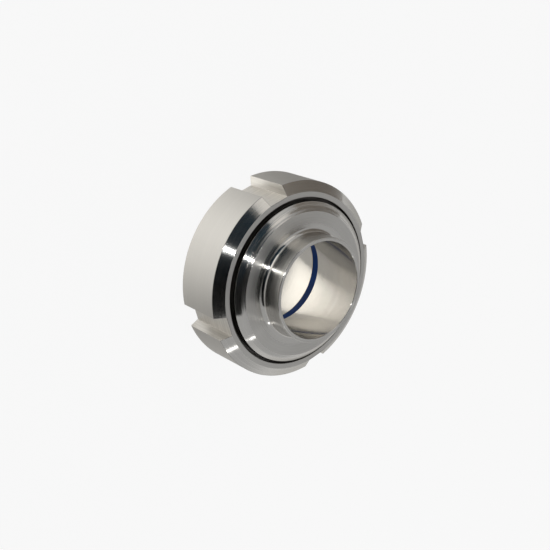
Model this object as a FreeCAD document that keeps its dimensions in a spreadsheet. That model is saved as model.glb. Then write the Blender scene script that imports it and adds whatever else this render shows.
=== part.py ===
import FreeCAD, Part
import math
import os
from types import SimpleNamespace

import Sketcher

# A DN 40 dairy union with a 65 mm round thread, in millimetres.
# It stands on the liner's weld end, which is Z = 0, and its axis is +Z.
# Four turned pieces share the axis: the collared liner at the bottom, the slotted nut that
# carries it on its lip, the threaded end that screws into the nut, and the seal between them.

SIZES = [
    # the pipe that both weld ends continue
    ("bore_radius", 19.0, "inside of the 41 x 1.5 pipe"),
    ("pipe_wall", 1.5, "wall of the pipe"),
    ("edge_break", 0.15, "small chamfer on turned edges"),
    # heights along the axis
    ("liner_reach", 13.0, "liner's weld end to the back of the nut"),
    ("nut_width", 21.7, "back to front of the nut"),
    ("end_reach", 12.3, "front of the nut to the upper weld end"),
    ("shoulder_rise", 3.6, "front of the nut to the shoulder face"),
    # the seal between bore and recess, and the round thread outside it, 65 mm over its crests
    ("seal_inset", 0.1, "seal set back from the bore"),
    ("seal_width", 6.9, "seal ring from inside to outside"),
    ("seal_clearance", 0.1, "seal to the wall of its recess"),
    ("recess_wall", 6.4, "that wall to the nominal radius of the thread"),
    ("pitch", 4.2333, "advance of the thread per turn, six to the inch"),
    ("crest_cut", 0.05, "crests turned down from the nominal radius"),
    ("thread_play", 0.06, "extra clearance on each flank of each thread"),
    ("groove_sink", 0.2, "grooves at the ends of the threads, beyond the thread's root"),
    ("groove_spare", 0.17, "height of those grooves over one pitch"),
    # the nut
    ("nut_wall", 6.5, "nominal thread to the outside of the nut"),
    ("chamfer_depth", 3.9, "front chamfer across, from the outside inwards"),
    ("chamfer_height", 2.75, "height of that chamfer"),
    ("back_break", 0.2, "chamfer round the nut's back"),
    ("mouth_gap", 0.34, "plain mouth in front of the thread, beyond the thread's root"),
    ("mouth_depth", 2.6, "depth of the mouth"),
    ("lip_thickness", 3.6, "inward lip at the nut's back"),
    ("slot_count", 4, "spanner slots"),
    ("slot_depth", 4.05, "outside of the nut to a slot's floor"),
    ("slot_floor_width", 8.1, "width of a slot at its floor"),
    ("slot_flare", 13.0, "lean of each slot wall, in degrees"),
    # the threaded end
    ("thread_lead", 1.2, "chamfer at the start of the outside thread"),
    ("land_drop", 2.0, "front of the nut down to the top of the relief groove"),
    ("land_inset", 0.8, "nominal thread to the plain land above the groove"),
    ("land_rise", 1.1, "front of the nut up to the top of the land"),
    ("lower_band", 1.65, "lower polished band across"),
    ("band_rise", 2.7, "height of the edge between the two bands above the nut"),
    ("upper_band", 1.65, "upper polished band across"),
    ("neck_fillet", 1.8, "concave fillet between a shoulder and its weld stub"),
    # the seal and the seat
    ("seal_height", 3.1, "thickness of the seal ring"),
    ("seal_round", 0.8, "rounded outer edges of the seal"),
    ("seat_angle", 30.0, "lean of the cone seat from the axis, in degrees"),
    ("seat_height", 2.0, "cone seat of the liner above its collar"),
    ("seat_shelf", 0.9, "flat of the collar outside the cone seat"),
    ("seat_gap", 0.1, "hand-tight gap between the liner and what faces it"),
    ("seat_side_gap", 0.15, "radial gap at the cone seat"),
    # the liner
    ("collar_height", 2.5, "straight part of the collar that the nut's lip carries"),
    ("lip_play", 0.1, "gap between the collar and the nut's lip"),
    ("neck_step", 3.5, "pipe to the liner's neck inside the nut's lip"),
    ("lip_clearance", 0.5, "nut's lip round the liner's neck"),
    ("neck_drop", 1.5, "back of the nut down to the liner's lower shoulder"),
]

# Shares of the pitch that the round thread's form gives
THREAD_DEPTH = 0.5
NUT_OFFSET = 0.05
OUTSIDE_ROUND = 0.2385
NUT_ROOT_ROUND = 0.256
NUT_CREST_ROUND = 0.22105
FLANK_LEAN = math.radians(15)

# How far a cutter stands clear of the metal
CUTTER_MARGIN = 0.8

doc = FreeCAD.newDocument("sanitary_union")
sheet = doc.addObject("Spreadsheet::Sheet", "Sizes")
for row, (alias, value, note) in enumerate(SIZES, start=1):
    sheet.set(f"A{row}", alias)
    sheet.set(f"B{row}", str(value))
    sheet.setAlias(f"B{row}", alias)
    sheet.set(f"C{row}", note)
doc.recompute()


class Size:
    """A length on the sheet, or a sum of such lengths, kept as an expression."""

    def __init__(self, words):
        self.words = str(words)

    def __str__(self):
        return self.words

    def __float__(self):
        return float(sheet.evalExpression(self.words))

    def __add__(self, other):
        return Size(f"({self} + {other})")

    def __sub__(self, other):
        return Size(f"({self} - {other})")

    def __mul__(self, other):
        return Size(f"({self} * {other})")

    __rmul__ = __mul__


size = SimpleNamespace(**{alias: Size("Sizes." + alias) for alias, _, _ in SIZES})


def root_of(length):
    return Size(f"sqrt({length})")


def tangent_of(angle):
    return Size(f"tan({angle} * 1 deg)")


# Levels of the nut
FOOT = Size(0)
NUT_BACK = size.liner_reach
NUT_FACE = NUT_BACK + size.nut_width
NUT_SIDE_TOP = NUT_FACE - size.chamfer_height
MOUTH_FLOOR = NUT_FACE - size.mouth_depth
LIP_TOP = NUT_BACK + size.lip_thickness
GROOVE_HEIGHT = size.pitch + size.groove_spare
UNDERCUT_TOP = LIP_TOP + GROOVE_HEIGHT

# Levels of the liner, the seal and the threaded end, each on the one before it
LINER_SHOULDER = NUT_BACK - size.neck_drop
COLLAR_BACK = LIP_TOP + size.lip_play
COLLAR_TOP = COLLAR_BACK + size.collar_height
NOSE = COLLAR_TOP + size.seat_height
SEAL_FOOT = NOSE + size.seat_gap
SEAL_TOP = SEAL_FOOT + size.seal_height
END_FOOT = COLLAR_TOP + size.seat_gap
RELIEF_TOP = NUT_FACE - size.land_drop
RELIEF_FOOT = RELIEF_TOP - GROOVE_HEIGHT
SHOULDER = NUT_FACE + size.shoulder_rise
WELD_TOP = NUT_FACE + size.end_reach

# Radii of the pipe, the seal and its recess
PIPE_RADIUS = size.bore_radius + size.pipe_wall
SEAL_INSIDE = size.bore_radius + size.seal_inset
SEAL_OUTSIDE = SEAL_INSIDE + size.seal_width
RECESS_RADIUS = SEAL_OUTSIDE + size.seal_clearance

# Radii of the thread, outside and in the nut, and of the grooves at its ends
THREAD_RADIUS = RECESS_RADIUS + size.recess_wall
CREST_RADIUS = THREAD_RADIUS - size.crest_cut
ROOT_RADIUS = THREAD_RADIUS - THREAD_DEPTH * size.pitch
RELIEF_RADIUS = ROOT_RADIUS - size.groove_sink
NUT_ROOT_RADIUS = THREAD_RADIUS + NUT_OFFSET * size.pitch
NUT_CREST_RADIUS = NUT_ROOT_RADIUS - THREAD_DEPTH * size.pitch
NUT_BORE_RADIUS = NUT_CREST_RADIUS + size.crest_cut
UNDERCUT_RADIUS = NUT_ROOT_RADIUS + size.groove_sink
MOUTH_RADIUS = NUT_ROOT_RADIUS + size.mouth_gap

# Radii of the nut's outside and of the shoulder that stands proud of it
NUT_RADIUS = THREAD_RADIUS + size.nut_wall
FACE_RADIUS = NUT_RADIUS - size.chamfer_depth
SLOT_FLOOR = NUT_RADIUS - size.slot_depth
LAND_RADIUS = THREAD_RADIUS - size.land_inset
BAND_RADIUS = LAND_RADIUS - size.lower_band
SHOULDER_RADIUS = BAND_RADIUS - size.upper_band

# Radii of the cone seat, the collar and the lip
SEAT_LEAN = tangent_of(size.seat_angle)
SEAT_MOUTH_RADIUS = RECESS_RADIUS + (SEAL_FOOT - END_FOOT) * SEAT_LEAN
NOSE_RADIUS = RECESS_RADIUS - size.seat_side_gap
CONE_RADIUS = NOSE_RADIUS + size.seat_height * SEAT_LEAN
COLLAR_RADIUS = CONE_RADIUS + size.seat_shelf
NECK_RADIUS = PIPE_RADIUS + size.neck_step
LIP_RADIUS = NECK_RADIUS + size.lip_clearance

# Where the thread cutters run. Both caps of each cutter lie where the metal is already
# turned away, and the two grooves are half a pitch apart, so crests stand in roots.
NUT_CUT_START = LIP_TOP + GROOVE_HEIGHT * 0.5
NUT_CUT_STOP = MOUTH_FLOOR + size.pitch * 0.6
END_CUT_START = NUT_CUT_START - size.pitch * 1.5
END_CUT_STOP = RELIEF_FOOT + GROOVE_HEIGHT * 0.5


def new_body(name):
    body = doc.addObject("PartDesign::Body", name)
    body.Label = name
    return body


def origin_plane(body, role):
    return next(plane for plane in body.Origin.OriginFeatures if plane.Role == role)


def new_sketch(body, name, role):
    sketch = body.newObject("Sketcher::SketchObject", name)
    sketch.AttachmentSupport = (origin_plane(body, role), [""])
    sketch.MapMode = "FlatFace"
    return sketch


def arc_between(start, end, radius, turn):
    """Arc of under half a circle, anticlockwise for turn 1 and clockwise for turn -1."""
    chord = end - start
    rise = math.sqrt(radius ** 2 - (chord.Length / 2) ** 2)
    side = FreeCAD.Vector(-chord.y, chord.x, 0).normalize()
    centre = (start + end) * 0.5 + side * rise * turn
    first, last = (start, end) if turn > 0 else (end, start)
    angles = [math.atan2(tip.y - centre.y, tip.x - centre.x) for tip in (first, last)]
    circle = Part.Circle(centre, FreeCAD.Vector(0, 0, 1), radius)
    return Part.ArcOfCircle(circle, *angles)


def bind(sketch, name, constraint, length):
    """Add a named dimension that follows a length on the sheet."""
    index = sketch.addConstraint(constraint)
    sketch.renameConstraint(index, name)
    sketch.setExpression("Constraints." + name, str(length))


def draw_outline(sketch, corners):
    """Closed outline through named corners: (name, x, y) or (name, x, y, radius, turn).

    A corner with a radius is reached by an arc from the corner before it.
    """
    points = [FreeCAD.Vector(float(corner[1]), float(corner[2]), 0) for corner in corners]
    ends = []
    for number, corner in enumerate(corners):
        start, end = points[number - 1], points[number]
        if len(corner) == 3:
            edge = sketch.addGeometry(Part.LineSegment(start, end))
            ends.append((edge, 1, 2))
            continue
        radius, turn = corner[3], corner[4]
        edge = sketch.addGeometry(arc_between(start, end, float(radius), turn))
        ends.append((edge, 1, 2) if turn > 0 else (edge, 2, 1))
        bind(sketch, corner[0] + "_round", Sketcher.Constraint("Radius", edge, float(radius)), radius)
    for number, corner in enumerate(corners):
        name, across, along = corner[:3]
        edge, _, tip = ends[number]
        following, tail, _ = ends[(number + 1) % len(ends)]
        sketch.addConstraint(Sketcher.Constraint("Coincident", edge, tip, following, tail))
        where = points[number]
        bind(sketch, name + "_x", Sketcher.Constraint("DistanceX", -1, 1, edge, tip, where.x), across)
        bind(sketch, name + "_y", Sketcher.Constraint("DistanceY", -1, 1, edge, tip, where.y), along)
    doc.recompute()


def turned(name, corners):
    """Body with one turned solid: an outline of radius and height, taken round the Z axis."""
    body = new_body(name)
    sketch = new_sketch(body, name + "_outline", "XZ_Plane")
    draw_outline(sketch, corners)
    solid = body.newObject("PartDesign::Revolution", name + "_turned")
    solid.Profile = sketch
    solid.ReferenceAxis = (sketch, ["V_Axis"])
    solid.Angle = 360
    doc.recompute()
    return body


def cut_thread(body, name, root, crest, blank, rounds, widen, start, stop):
    """Right-handed helical groove of the round thread, between two heights.

    root is the groove's floor, crest the nominal crest and blank the turned crest. The groove
    opens outwards where the crest is the larger radius, and towards the axis otherwise.
    rounds are the radii of the root and the crest, and widen moves each flank outwards.
    """
    outwards = 1 if float(crest) > float(root) else -1
    root_round, crest_round = rounds
    reach = outwards * (1 - math.sin(FLANK_LEAN))
    spread = math.cos(FLANK_LEAN)
    flank_foot = root + reach * root_round
    flank_head = crest - reach * crest_round
    opening = blank + outwards * CUTTER_MARGIN
    foot_half = spread * root_round + widen
    head_half = size.pitch * 0.5 - spread * crest_round + widen
    crest_flat = root_of(size.crest_cut * (2 * crest_round - size.crest_cut))
    rim_half = size.pitch * 0.5 + widen - crest_flat
    sketch = new_sketch(body, name + "_profile", "XZ_Plane")
    draw_outline(sketch, [
        ("opening_low", opening, start - rim_half),
        ("rim_low", blank, start - rim_half),
        ("head_low", flank_head, start - head_half, crest_round, outwards),
        ("foot_low", flank_foot, start - foot_half),
        ("floor_low", root, start - widen, root_round, -outwards),
        ("floor_high", root, start + widen),
        ("foot_high", flank_foot, start + foot_half, root_round, -outwards),
        ("head_high", flank_head, start + head_half),
        ("rim_high", blank, start + rim_half, crest_round, outwards),
        ("opening_high", opening, start + rim_half),
    ])
    groove = body.newObject("PartDesign::SubtractiveHelix", name)
    groove.Profile = sketch
    groove.ReferenceAxis = (sketch, ["V_Axis"])
    groove.Mode = "pitch-height-angle"
    groove.setExpression("Pitch", str(size.pitch))
    groove.setExpression("Height", str(stop - start))
    doc.recompute()


def make_liner():
    """Plain part that the nut pulls up: weld stub, neck, collar and cone seat."""
    return turned("collared_liner", [
        ("bore_foot", size.bore_radius, size.edge_break),
        ("foot_inner", size.bore_radius + size.edge_break, FOOT),
        ("foot_outer", PIPE_RADIUS - size.edge_break, FOOT),
        ("stub_foot", PIPE_RADIUS, size.edge_break),
        ("stub_top", PIPE_RADIUS, LINER_SHOULDER - size.neck_fillet),
        ("fillet_end", PIPE_RADIUS + size.neck_fillet, LINER_SHOULDER, size.neck_fillet, -1),
        ("neck_rim", NECK_RADIUS - size.edge_break, LINER_SHOULDER),
        ("neck_foot", NECK_RADIUS, LINER_SHOULDER + size.edge_break),
        ("neck_top", NECK_RADIUS, COLLAR_BACK),
        ("collar_back", COLLAR_RADIUS - size.edge_break, COLLAR_BACK),
        ("collar_low", COLLAR_RADIUS, COLLAR_BACK + size.edge_break),
        ("collar_high", COLLAR_RADIUS, COLLAR_TOP - size.edge_break),
        ("collar_rim", COLLAR_RADIUS - size.edge_break, COLLAR_TOP),
        ("cone_foot", CONE_RADIUS, COLLAR_TOP),
        ("nose_outer", NOSE_RADIUS, NOSE),
        ("nose_inner", size.bore_radius, NOSE),
    ])


def make_seal():
    """Flat rubber ring with rounded outer edges, in the recess of the threaded end."""
    crown = SEAL_OUTSIDE - size.seal_round
    return turned("seal_ring", [
        ("inner_foot", SEAL_INSIDE, SEAL_FOOT),
        ("outer_foot", crown, SEAL_FOOT),
        ("side_foot", SEAL_OUTSIDE, SEAL_FOOT + size.seal_round, size.seal_round, 1),
        ("side_top", SEAL_OUTSIDE, SEAL_TOP - size.seal_round),
        ("outer_top", crown, SEAL_TOP, size.seal_round, 1),
        ("inner_top", SEAL_INSIDE, SEAL_TOP),
    ])


def make_threaded_end():
    """Part that screws into the nut: seat, recess, thread, shoulder and weld stub."""
    body = turned("threaded_end", [
        ("seat_mouth", SEAT_MOUTH_RADIUS, END_FOOT),
        ("foot_rim", CREST_RADIUS - size.thread_lead, END_FOOT),
        ("thread_foot", CREST_RADIUS, END_FOOT + size.thread_lead),
        ("thread_top", CREST_RADIUS, RELIEF_FOOT),
        ("relief_foot", RELIEF_RADIUS, RELIEF_FOOT),
        ("relief_top", RELIEF_RADIUS, RELIEF_TOP),
        ("land_foot", LAND_RADIUS, RELIEF_TOP),
        ("land_top", LAND_RADIUS, NUT_FACE + size.land_rise),
        ("band", BAND_RADIUS, NUT_FACE + size.band_rise),
        ("shoulder_rim", SHOULDER_RADIUS, SHOULDER),
        ("fillet_rim", PIPE_RADIUS + size.neck_fillet, SHOULDER),
        ("stub_foot", PIPE_RADIUS, SHOULDER + size.neck_fillet, size.neck_fillet, -1),
        ("stub_top", PIPE_RADIUS, WELD_TOP - size.edge_break),
        ("top_outer", PIPE_RADIUS - size.edge_break, WELD_TOP),
        ("top_inner", size.bore_radius + size.edge_break, WELD_TOP),
        ("bore_top", size.bore_radius, WELD_TOP - size.edge_break),
        ("bore_foot", size.bore_radius, SEAL_TOP),
        ("recess_top", RECESS_RADIUS, SEAL_TOP),
        ("recess_foot", RECESS_RADIUS, SEAL_FOOT),
    ])
    cut_thread(
        body, "outside_thread", ROOT_RADIUS, THREAD_RADIUS, CREST_RADIUS,
        (OUTSIDE_ROUND * size.pitch, OUTSIDE_ROUND * size.pitch), size.thread_play,
        END_CUT_START, END_CUT_STOP,
    )
    return body


def cut_slots(body):
    """Spanner slots through the nut's whole width, evenly spaced, the first at +X."""
    outside = NUT_RADIUS + CUTTER_MARGIN
    floor_half = size.slot_floor_width * 0.5
    outside_half = floor_half + (outside - SLOT_FLOOR) * tangent_of(size.slot_flare)
    sketch = new_sketch(body, "slot_outline", "XY_Plane")
    draw_outline(sketch, [
        ("floor_right", SLOT_FLOOR, FOOT - floor_half),
        ("rim_right", outside, FOOT - outside_half),
        ("rim_left", outside, outside_half),
        ("floor_left", SLOT_FLOOR, floor_half),
    ])
    slot = body.newObject("PartDesign::Pocket", "slot")
    slot.Profile = sketch
    slot.Type = "ThroughAll"
    slot.Reversed = True
    doc.recompute()
    pattern = body.newObject("PartDesign::PolarPattern", "slots")
    pattern.Originals = [slot]
    pattern.Axis = (sketch, ["N_Axis"])
    pattern.Angle = 360
    pattern.setExpression("Occurrences", str(size.slot_count))
    body.Tip = pattern
    doc.recompute()


def make_nut():
    """Round nut: lip, undercut, inside thread, mouth, front chamfer and spanner slots."""
    body = turned("slotted_nut", [
        ("lip_foot", LIP_RADIUS, NUT_BACK + size.edge_break),
        ("back_inner", LIP_RADIUS + size.edge_break, NUT_BACK),
        ("back_outer", NUT_RADIUS - size.back_break, NUT_BACK),
        ("side_foot", NUT_RADIUS, NUT_BACK + size.back_break),
        ("side_top", NUT_RADIUS, NUT_SIDE_TOP),
        ("face_outer", FACE_RADIUS, NUT_FACE),
        ("face_inner", MOUTH_RADIUS + size.edge_break, NUT_FACE),
        ("mouth_top", MOUTH_RADIUS, NUT_FACE - size.edge_break),
        ("mouth_foot", MOUTH_RADIUS, MOUTH_FLOOR),
        ("thread_top", NUT_BORE_RADIUS, MOUTH_FLOOR),
        ("thread_foot", NUT_BORE_RADIUS, UNDERCUT_TOP),
        ("undercut_top", UNDERCUT_RADIUS, UNDERCUT_TOP),
        ("undercut_foot", UNDERCUT_RADIUS, LIP_TOP),
        ("lip_top", LIP_RADIUS, LIP_TOP),
    ])
    cut_slots(body)
    cut_thread(
        body, "inside_thread", NUT_ROOT_RADIUS, NUT_CREST_RADIUS, NUT_BORE_RADIUS,
        (NUT_ROOT_ROUND * size.pitch, NUT_CREST_ROUND * size.pitch), size.thread_play,
        NUT_CUT_START, NUT_CUT_STOP,
    )
    return body


def check_document():
    for item in doc.Objects:
        faults = {"Invalid", "Error"} & set(item.State)
        if faults:
            raise RuntimeError(f"{item.Name} is {faults}")


def write_parts(bodies):
    os.makedirs("parts", exist_ok=True)
    for body in bodies:
        shape = body.Shape
        if shape.isNull() or not shape.isValid() or len(shape.Solids) != 1:
            raise RuntimeError(f"{body.Label} is not one valid solid")
        shape.exportStep(f"parts/{body.Label}.step")
        print(f"{body.Label}: {shape.Volume:.1f} mm3, {len(shape.Faces)} faces")


pieces = [make_liner(), make_seal(), make_threaded_end(), make_nut()]
doc.recompute()
check_document()
write_parts(pieces)
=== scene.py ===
import math

import bpy
from mathutils import Matrix, Vector


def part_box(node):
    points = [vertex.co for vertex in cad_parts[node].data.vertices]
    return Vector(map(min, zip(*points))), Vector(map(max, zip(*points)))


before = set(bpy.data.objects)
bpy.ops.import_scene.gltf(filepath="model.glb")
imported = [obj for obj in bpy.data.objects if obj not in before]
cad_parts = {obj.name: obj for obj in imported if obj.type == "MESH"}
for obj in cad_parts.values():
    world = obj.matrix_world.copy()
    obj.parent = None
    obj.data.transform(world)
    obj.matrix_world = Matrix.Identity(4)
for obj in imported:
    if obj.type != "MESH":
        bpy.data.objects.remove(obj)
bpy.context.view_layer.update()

# A pipe union of turned stainless steel. It stands on its liner's weld end with the axis along
# +Z, and every finish on it is worked out from the distance to that axis and the height.

MM = 0.001

# Heights that the frame gives, and the turned edges between two finishes
NUT_BACK, NUT_FACE = (corner.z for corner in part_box("slotted_nut"))
WELD_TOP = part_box("threaded_end")[1].z
BORE_RADIUS = 19.0 * MM
PIPE_RADIUS = 20.5 * MM
STUB_MIDDLE = (BORE_RADIUS + PIPE_RADIUS) / 2
FILLET_RIM = 22.3 * MM
SHOULDER_RADIUS = 28.4 * MM
BAND_RADIUS = 30.05 * MM
LAND_RADIUS = 31.7 * MM
LAND_TOP = NUT_FACE + 1.05 * MM
GAP_FLOOR = NUT_FACE - 2.65 * MM
MOUTH_RIM = 33.1 * MM
SHOULDER = NUT_FACE + 3.6 * MM
FACE_RADIUS = 35.1 * MM
NUT_SIDE_TOP = NUT_FACE - 2.75 * MM
SLOT_FLOOR = 34.95 * MM
SLOT_HALF_WIDTH = 4.05 * MM
SLOT_FLARE = math.tan(math.radians(13))

# A mask blends over a hair's width, and keeps as far off the edge where it stops
HAIR = 0.05 * MM
EDGE_WEAR = 0.12 * MM
SCORE_WIDTH = 0.18 * MM
# Widths of the thin dark lines painted along the nut's edges
RIM_DARK_LINE = 0.15 * MM
WALL_DARK_LINE = 0.22 * MM
FLOOR_DARK_LINE = 0.4 * MM
RELIEF_HEIGHT = 0.01 * MM

# Sides of the part, in degrees round from +X
RUBBED_SIDE = -105
FLASH_SIDE = -56
FAR_SIDE = 95

# The camera aims at the axis, level with the top of the nut's side, and is then moved in its
# own plane so that this point lies right of the picture's middle and a little below it
CAMERA_AZIMUTH = -45.94
CAMERA_ELEVATION = 46.66
CAMERA_ROLL = 112.34
CAMERA_DISTANCE = 369.06 * MM
CAMERA_LENS = 62.688
CAMERA_SENSOR = 36
CAMERA_NEAR = 10 * MM
AIM_RIGHT = 7.439 * MM
AIM_UP = -1.87 * MM


def toward(azimuth, elevation):
    """Direction from the part, in degrees round from +X and up from the floor."""
    around, upward = math.radians(azimuth), math.radians(elevation)
    return Vector((math.cos(around) * math.cos(upward), math.sin(around) * math.cos(upward),
                   math.sin(upward)))


class Value:
    """An output of a node. One that is a number takes part in Python's arithmetic."""

    def __init__(self, finish, socket):
        self.finish = finish
        self.socket = socket

    def math(self, operation, *values):
        return self.finish.node("Math", {"operation": operation}, dict(enumerate(values)))

    def __add__(self, other):
        return self.math("ADD", self, other)

    def __sub__(self, other):
        return self.math("SUBTRACT", self, other)

    def __mul__(self, other):
        return self.math("MULTIPLY", self, other)

    def __truediv__(self, other):
        return self.math("DIVIDE", self, other)

    def __pow__(self, other):
        return self.math("POWER", self, other)

    def __rsub__(self, other):
        return self.math("SUBTRACT", other, self)

    def __abs__(self):
        return self.math("ABSOLUTE", self)

    __radd__ = __add__
    __rmul__ = __mul__

    def least(self, other):
        return self.math("MINIMUM", self, other)

    def most(self, other):
        return self.math("MAXIMUM", self, other)

    def above(self, edge, blur=HAIR):
        """1 where the value is over the edge, 0 where it is under, with a short blend."""
        return ((self - edge) / blur + 0.5).least(1).most(0)


class Finish:
    """The nodes of a material or a world, laid out round the axis of a turned piece."""

    def __init__(self, owner):
        owner.use_nodes = True
        self.owner = owner
        self.tree = owner.node_tree
        self.tree.nodes.clear()

    def node(self, kind, settings, sockets, *outputs):
        """Add a node of that kind, and return the outputs that are named, or else its first."""
        node = self.tree.nodes.new("ShaderNode" + kind)
        for name, setting in settings.items():
            setattr(node, name, setting)
        for name, value in sockets.items():
            if isinstance(value, Value):
                self.tree.links.new(value.socket, node.inputs[name])
            else:
                node.inputs[name].default_value = value
        if outputs:
            return [Value(self, node.outputs[name]) for name in outputs]
        enabled = [socket for socket in node.outputs if socket.enabled]
        return Value(self, enabled[0]) if enabled else None

    def locate(self):
        """Where a point lies: its place, the distance to the axis and the height."""
        self.place, = self.node("TexCoord", {}, {}, "Object")
        axes = self.node("SeparateXYZ", {}, {"Vector": self.place}, "X", "Y", "Z")
        self.x, self.y, self.height = axes
        self.radius = (self.x * self.x + self.y * self.y) ** 0.5

    def facing(self, azimuth):
        """1 on the side of the axis that the azimuth gives, down to 0 a quarter turn away."""
        side = toward(azimuth, 0)
        return ((self.x * side.x + self.y * side.y) / self.radius).most(0)

    def between(self, low, high):
        """1 where the height is between the two, 0 under and over them."""
        return self.height.above(low) * (1 - self.height.above(high))

    def close_to(self, distance, reach):
        """1 where a distance is 0, fading to 0 within the reach on both sides."""
        return (1 - abs(distance) / reach).most(0)

    def noise(self, vector, scale, detail, depth=None):
        """Soft random values about 0. The depth is a fourth direction in which they change."""
        settings = {"noise_dimensions": "3D" if depth is None else "4D"}
        sockets = {"Vector": vector, "Scale": scale, "Detail": detail}
        if depth is not None:
            sockets["W"] = depth
        return self.node("TexNoise", settings, sockets) - 0.5

    def rings(self, width, breaks, detail):
        """Marks of the turning tool round the axis, about as wide as given. The fewer breaks they
        have, the longer their arcs."""
        wound = self.node("CombineXYZ", {}, {
            "X": self.x / self.radius * breaks, "Y": self.y / self.radius * breaks,
            "Z": self.height / width,
        })
        return self.noise(wound, 1, detail, depth=self.radius / width)

    def blend(self, mask, under, over):
        """Colour that goes from under to over as the mask goes from 0 to 1."""
        sockets = {"Factor": mask, "A": under, "B": over}
        return self.node("Mix", {"data_type": "RGBA"}, sockets)

    def close(self, shader, output="OutputMaterial"):
        """Lead the shader to the output, and return the material or the world."""
        self.node(output, {}, {"Surface": shader})
        return self.owner


def new_finish(name):
    """Material whose nodes know where a point lies round the axis."""
    finish = Finish(bpy.data.materials.new(name))
    finish.locate()
    return finish


STEEL_DARK = (0.51, 0.495, 0.47, 1)
STEEL_PALE = (0.68, 0.665, 0.635, 1)
SLOT_PALE = (0.80, 0.775, 0.73, 1)
# Dark colour painted in: painted shade in the gap between the pieces, and thin dark lines along
# some edges
PAINTED_DARK = (0.06, 0.052, 0.045, 1)
SEAL_DEEP = (0.002, 0.027, 0.135, 1)
SEAL_BLUE = (0.004, 0.047, 0.225, 1)
SATIN_ROUGHNESS = 0.46
GLOSS_ROUGHNESS = 0.30
POLISH_GAIN = 0.14
BORE_POLISH = 0.6
QUARTER_TURN = 0.25


def relieved(finish, relief):
    """Surface with worn edges, and marks as high as the relief says."""
    edges = finish.node("Bevel", {"samples": 6}, {"Radius": EDGE_WEAR})
    return finish.node("Bump", {}, {
        "Strength": 1.0, "Distance": RELIEF_HEIGHT, "Height": relief, "Normal": edges,
    })


def steel(finish, roughness, relief, shade, painted_dark, anisotropy):
    """Turned steel: its gloss is drawn out across the marks, which run round the axis."""
    colour = finish.blend((shade * 0.8 + 0.5).least(1).most(0), STEEL_DARK, STEEL_PALE)
    # Painted shade: the base colour goes dark where the third mask of the zones says
    colour = finish.blend(painted_dark, colour, PAINTED_DARK)
    return finish.node("BsdfPrincipled", {}, {
        "Base Color": colour, "Metallic": 1.0, "Roughness": roughness,
        "Normal": relieved(finish, relief),
        "Anisotropic": anisotropy, "Anisotropic Rotation": QUARTER_TURN,
    })


def lathe_scores(finish):
    """Relief of the polished turning: fine rings, more of them on the two bands, deepest on the
    side where these were rubbed, and a corner turned down at the edge of each band."""
    on_bands = finish.radius.above(SHOULDER_RADIUS) * (1 - finish.radius.above(LAND_RADIUS))
    corners = finish.close_to(finish.radius - BAND_RADIUS, SCORE_WIDTH)
    corners = corners + finish.close_to(finish.radius - SHOULDER_RADIUS, SCORE_WIDTH)
    rubbed = finish.facing(RUBBED_SIDE) ** 2 * 15 + 3
    fine_rings = finish.rings(0.45 * MM, 0.1, 1) * 3
    band_rings = finish.rings(0.55 * MM, 0.04, 1) * on_bands * rubbed
    return fine_rings - corners * 3 + band_rings


def turned_finish(name, zones_of, slots_of=None):
    """Turned steel, satin except where zones_of gives fine turning and polish as masks. Its
    third mask is painted dark: painted shade in the narrow gap between the pieces, and thin
    dark lines painted along some edges."""
    finish = new_finish(name)
    feed = finish.rings(0.7 * MM, 0.3, 5)
    arcs = finish.rings(0.25 * MM, 4.0, 3)
    cloud = finish.noise(finish.place, 70, 2)
    fine, polish, dark = zones_of(finish)
    relief = feed * (1 - polish * 0.7) + arcs * (0.5 - polish * 0.4)
    # Painted shade in the gap and painted dark edge lines, broken up a little by the cloud
    painted_dark = 0.0 if dark is None else (dark * (cloud * 0.8 + 0.85)).least(1)
    shade = feed * 0.5 + cloud * 0.5
    dull = feed * 0.06 + cloud * 0.08 + SATIN_ROUGHNESS
    satin = steel(finish, dull, relief, shade, painted_dark, anisotropy=0.6)
    gloss = feed * 0.05 + arcs * 0.04 + cloud * 0.03 + GLOSS_ROUGHNESS - polish * POLISH_GAIN
    scored = relief * 0.5 + lathe_scores(finish) * polish
    bright = steel(finish, gloss, scored, feed * 0.9, painted_dark, anisotropy=1.0)
    shader = finish.node("MixShader", {}, {0: fine, 1: satin, 2: bright})
    if slots_of is not None:
        milled = milled_steel(finish)
        shader = finish.node("MixShader", {}, {0: slots_of(finish), 1: shader, 2: milled})
    return finish.close(shader)


def milled_steel(finish):
    """Steel in the spanner slots: the cutter ran across each floor and along each wall."""
    outwards = abs(finish.x).most(abs(finish.y))
    wall = outwards.above(SLOT_FLOOR + HAIR)
    cut = finish.height * (1 - wall) + outwards * wall
    stroke = finish.noise(finish.place, 120, 3, depth=cut * 14)
    return finish.node("BsdfPrincipled", {}, {
        "Base Color": finish.blend(stroke * 1.4 + 0.6, STEEL_DARK, SLOT_PALE),
        "Metallic": 1.0, "Roughness": stroke * 0.15 + 0.38, "Normal": relieved(finish, stroke),
    })


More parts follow.
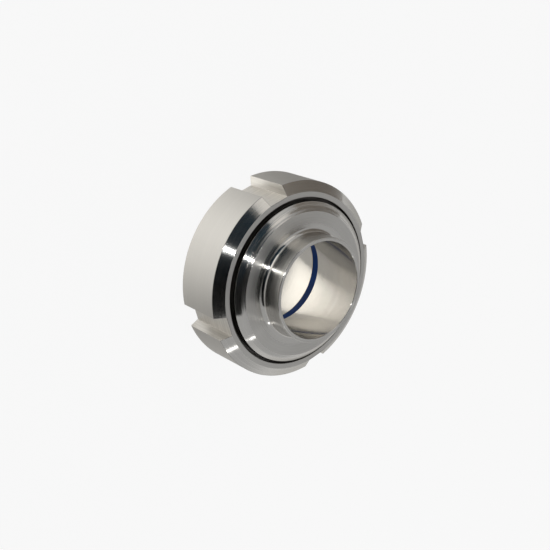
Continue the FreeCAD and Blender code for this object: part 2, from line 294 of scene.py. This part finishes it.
def nut_zones(finish):
    """The front chamfer is polished, the rest of the nut is satin. Painted shade darkens the wall
    of the nut's mouth in the gap, and thin dark lines are painted along the chamfer's outer edge
    and round the front end of each slot."""
    over_side = finish.height.above(NUT_SIDE_TOP + 0.03 * MM)
    off_face = finish.radius.above(FACE_RADIUS + HAIR)
    chamfer = over_side * off_face
    within = 1 - finish.radius.above(MOUTH_RIM)
    # Painted shade on the wall of the nut's mouth, in the gap round the threaded end
    mouth = finish.between(GAP_FLOOR, NUT_FACE - 0.2 * MM) * within
    outwards, past_wall = beside_slot(finish)
    at_face = finish.height.above(NUT_FACE - 0.3 * MM)
    along_rim = finish.between(NUT_SIDE_TOP - RIM_DARK_LINE, NUT_SIDE_TOP + HAIR) * off_face
    along_wall = finish.close_to(past_wall, WALL_DARK_LINE) * outwards.above(SLOT_FLOOR) * over_side
    along_floor = finish.close_to(outwards - SLOT_FLOOR, FLOOR_DARK_LINE) * (1 - past_wall.above(0))
    round_slots = along_wall.most(along_floor * at_face)
    # Thin dark lines painted along the chamfer's outer edge and round the slots' front ends
    dark_edges = (along_rim * 0.6).most(round_slots * 0.8)
    return chamfer, chamfer, mouth.most(dark_edges)


def beside_slot(finish):
    """Distance outwards, and past a slot's wall, for four slots that flare from a flat floor."""
    outwards = abs(finish.x).most(abs(finish.y))
    wall = (outwards - SLOT_FLOOR) * SLOT_FLARE + SLOT_HALF_WIDTH
    return outwards, abs(finish.x).least(abs(finish.y)) - wall


def nut_slots(finish):
    """Mask of the four slots, which lie on the X and Y axes."""
    outwards, past_wall = beside_slot(finish)
    return (1 - past_wall.above(0.03 * MM)) * outwards.above(SLOT_FLOOR - HAIR)


def end_zones(finish):
    """Fine turning in the bore and on all that stands proud of the nut, where the bands, the
    fillet and the stub are polished. The plain land in the nut's mouth is painted dark, as
    painted shade in the gap."""
    bore = 1 - finish.radius.above(STUB_MIDDLE)
    proud = finish.height.above(NUT_FACE)
    bands = finish.radius.above(SHOULDER_RADIUS + HAIR) * proud
    inner = 1 - finish.radius.above(FILLET_RIM + 1.2 * MM, 1.6 * MM)
    neck = inner * finish.height.above(SHOULDER - HAIR)
    rim = finish.height.above(WELD_TOP - HAIR)
    polish = bands.most(neck * (1 - bore) * (1 - rim)).most(bore * BORE_POLISH)
    # Painted shade on the land in the nut's mouth, deep in the gap
    land = finish.radius.above(LAND_RADIUS - 0.1 * MM) * finish.between(GAP_FLOOR, LAND_TOP)
    return proud.most(bore), polish, land


def liner_zones(finish):
    """Fine turning in the bore and below the nut, polished round the neck and the stub."""
    bore = 1 - finish.radius.above(STUB_MIDDLE)
    below = 1 - finish.height.above(NUT_BACK)
    foot = 1 - finish.height.above(HAIR)
    polish = (below * (1 - bore) * (1 - foot)).most(bore * BORE_POLISH)
    return below.most(bore), polish, None


def seal_finish():
    """Smooth blue rubber with a fine grain, hardly shiny."""
    finish = new_finish("seal_blue_rubber")
    cloud = finish.noise(finish.place, 150, 3)
    grain = finish.noise(finish.place, 2500, 2)
    colour = finish.blend((cloud * 1.5 + 0.5).least(1).most(0), SEAL_DEEP, SEAL_BLUE)
    normal = finish.node("Bump", {}, {
        "Strength": 1.0, "Distance": RELIEF_HEIGHT, "Height": grain,
    })
    shader = finish.node("BsdfPrincipled", {}, {
        "Base Color": colour, "Roughness": cloud * 0.2 + grain * 0.1 + 0.30, "Normal": normal,
        "Specular IOR Level": 0.05,
    })
    return finish.close(shader)


def dress(node, material):
    """Give every slot of a piece of the frame that material."""
    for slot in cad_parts[node].material_slots:
        slot.material = material


MIDDLE = Vector((0, 0, (NUT_BACK + NUT_FACE) / 2))
CARD_DISTANCE = 620 * MM
LAMP_DISTANCE = 600 * MM
FLASH_DISTANCE = 550 * MM
BORE_LAMP_HEIGHT = 0.5 * MM
FLOOR_SIZE = 5000 * MM
FLOOR_GLOW = 0.9
# Highest painted light on the floor inside the bore, which makes painted shade there
BORE_PAINTED_LIGHT = 0.75
BRIGHTEST = 1.5
GLARE = (BRIGHTEST, 1.48, 1.43, 1)
BLACK = (0, 0, 0, 1)
WHITE = (1, 1, 1, 1)
BOARD = (0.86, 0.86, 0.86, 1)
WALL_PALE = (0.85, 0.85, 0.85, 1)
CEILING_GREY = (0.50, 0.505, 0.51, 1)
CARD_BLACK = (0.003, 0.003, 0.003, 1)
CARD_TEAL = (0.030, 0.085, 0.140, 1)
CARD_BROWN = (0.42, 0.375, 0.33, 1)
CARD_CREAM = (0.90, 0.82, 0.74, 1)


def add_object(name, data):
    piece = bpy.data.objects.new(name, data)
    bpy.context.scene.collection.objects.link(piece)
    return piece


def facing_part(azimuth, elevation, distance, lean):
    """Where a lamp stands, with its front turned to the part and its top leaning sideways."""
    back = toward(azimuth, elevation)
    turn = back.to_track_quat("Z", "Y").to_matrix().to_4x4()
    return (Matrix.Translation(MIDDLE + back * distance) @ turn
            @ Matrix.Rotation(math.radians(-lean), 4, "Z"))


def add_camera():
    """Camera with the photograph's viewing angle, rolled so that the pipe's axis lies over."""
    back = toward(CAMERA_AZIMUTH, CAMERA_ELEVATION)
    level = Vector((-back.y, back.x, 0)).normalized()
    upright = back.cross(level)
    roll = math.radians(CAMERA_ROLL)
    right = level * math.cos(roll) + upright * math.sin(roll)
    up = upright * math.cos(roll) - level * math.sin(roll)
    aim = Vector((0, 0, NUT_SIDE_TOP))
    place = aim + back * CAMERA_DISTANCE - right * AIM_RIGHT - up * AIM_UP
    data = bpy.data.cameras.new("camera")
    data.sensor_width = CAMERA_SENSOR
    data.lens = CAMERA_LENS
    data.clip_start = CAMERA_NEAR
    camera = add_object("camera", data)
    turn = Matrix((right, up, back)).transposed().to_4x4()
    camera.matrix_world = Matrix.Translation(place) @ turn
    bpy.context.scene.camera = camera


def add_lamp(name, azimuth, elevation, distance, size, radiance, colour, lean=0):
    """Soft box that looks as bright at any size, because its energy follows its area."""
    data = bpy.data.lights.new(name, "AREA")
    data.shape = "RECTANGLE"
    data.size, data.size_y = size
    data.energy = radiance * math.pi * data.size * data.size_y
    data.color = colour
    add_object(name, data).matrix_world = facing_part(azimuth, elevation, distance, lean)


def add_bore_lamp(x, y, radius, radiance, colour):
    """Round lamp at the foot of the bore, which shines up it and which the camera can't see."""
    data = bpy.data.lights.new("bore_lamp", "AREA")
    data.shape = "DISK"
    data.size = radius * 2
    data.energy = radiance * math.pi * math.pi * radius ** 2
    data.color = colour
    lamp = add_object("bore_lamp", data)
    foot = Matrix.Translation((x, y, BORE_LAMP_HEIGHT))
    lamp.matrix_world = foot @ Matrix.Rotation(math.pi, 4, "X")
    lamp.visible_camera = False


def add_floor():
    """Floor under the part, level with the liner's weld face."""
    half = FLOOR_SIZE / 2
    mesh = bpy.data.meshes.new("floor")
    corners = [(-half, -half, 0), (half, -half, 0), (half, half, 0), (-half, half, 0)]
    mesh.from_pydata(corners, [], [(0, 1, 2, 3)])
    mesh.materials.append(floor_material())
    sheet = add_object("floor", mesh)


def floor_material():
    """White board for the camera, with a plain share that keeps the part's soft shadow. Metal
    sees painted light on it: a pale pool on the flash side, and painted shade, greyer, around the
    part and inside the bore."""
    finish = new_finish("floor_board")
    camera, glossy = finish.node("LightPath", {}, {}, "Is Camera Ray", "Is Glossy Ray")
    # Painted light for the metal to see: a pool of flash light on the flash side, a little on the
    # far side, and painted shade inside the bore
    painted_floor_light = finish.facing(FLASH_SIDE) ** 2.5 * 1.1 + finish.facing(FAR_SIDE) * 0.25 + 0.4
    painted_floor_light = painted_floor_light.least(finish.radius.above(BORE_RADIUS) + BORE_PAINTED_LIGHT)
    seen = finish.blend(painted_floor_light / BRIGHTEST, BLACK, GLARE)
    seen = finish.blend(camera, seen, WHITE)
    board = finish.node("BsdfDiffuse", {}, {"Color": BOARD})
    glow = finish.node("Emission", {}, {"Color": seen, "Strength": 1.0})
    share = camera.most(glossy) * FLOOR_GLOW
    return finish.close(finish.node("MixShader", {}, {0: share, 1: board, 2: glow}))


def card_material(name, plain, left):
    """Matt card that goes from its plain colour to its left one towards -Y."""
    finish = new_finish(name)
    share = (finish.y / -CARD_DISTANCE).most(0).least(1) ** 1.5
    colour = finish.blend(share, plain, left)
    return finish.close(finish.node("BsdfDiffuse", {}, {"Color": colour}))


def add_bent_card(name, azimuths, spread, elevations, material):
    """Card bent round the part, wider by the spread at its top, and hidden to the camera."""
    columns, rows = 24, 12
    corners, faces = [], []
    for row in range(rows + 1):
        share = row / rows
        elevation = elevations[0] + (elevations[1] - elevations[0]) * share
        left = azimuths[0] - spread[0] * share ** 2
        right = azimuths[1] + spread[1] * share ** 2
        for column in range(columns + 1):
            azimuth = left + (right - left) * column / columns
            corners.append(MIDDLE + toward(azimuth, elevation) * CARD_DISTANCE)
    for row in range(rows):
        for column in range(columns):
            first = row * (columns + 1) + column
            faces.append((first, first + 1, first + columns + 2, first + columns + 1))
    mesh = bpy.data.meshes.new(name)
    mesh.from_pydata(corners, [], faces)
    mesh.materials.append(material)
    card = add_object(name, mesh)
    card.visible_camera = False


def set_world():
    """Pale walls near the floor, greyer higher up."""
    world = bpy.data.worlds.new("studio")
    bpy.context.scene.world = world
    finish = Finish(world)
    direction, = finish.node("TexCoord", {}, {}, "Generated")
    upward, = finish.node("SeparateXYZ", {}, {"Vector": direction}, "Z")
    ceiling = ((upward - 0.05) / 0.20).least(1).most(0)
    colour = finish.blend(ceiling, WALL_PALE, CEILING_GREY)
    light = finish.node("Background", {}, {"Color": colour, "Strength": 1.0})
    finish.close(light, "OutputWorld")


dress("slotted_nut", turned_finish("nut_steel", nut_zones, nut_slots))
dress("threaded_end", turned_finish("end_steel", end_zones))
dress("collared_liner", turned_finish("liner_steel", liner_zones))
dress("seal_ring", seal_finish())

add_floor()
add_bent_card("dark_card", azimuths=(-98, 22), spread=(29, 36), elevations=(8, 84),
              material=card_material("black_card", CARD_BLACK, CARD_TEAL))
add_bent_card("brown_card", azimuths=(-186, -136), spread=(0, 2), elevations=(3, 48),
              material=card_material("brown_card", CARD_BROWN, CARD_CREAM))
add_lamp("flash", -49, 57, FLASH_DISTANCE, size=(10 * MM, 300 * MM), radiance=42,
         colour=(0.97, 0.99, 1))
add_lamp("cream_box", -122, 47, LAMP_DISTANCE, size=(200 * MM, 260 * MM), radiance=0.50,
         colour=(1, 0.94, 0.84))
add_lamp("low_box", -62, 9, LAMP_DISTANCE, size=(300 * MM, 120 * MM), radiance=1.6,
         colour=(1, 0.98, 0.94))
add_lamp("side_strip", 61, 31, LAMP_DISTANCE, size=(20 * MM, 230 * MM), radiance=4.5,
         colour=(1, 1, 1), lean=28)
add_bore_lamp(-3 * MM, -5 * MM, radius=12.5 * MM, radiance=1.65, colour=(1, 0.96, 0.88))
add_camera()
set_world()
bpy.context.scene.view_settings.view_transform = "Standard"
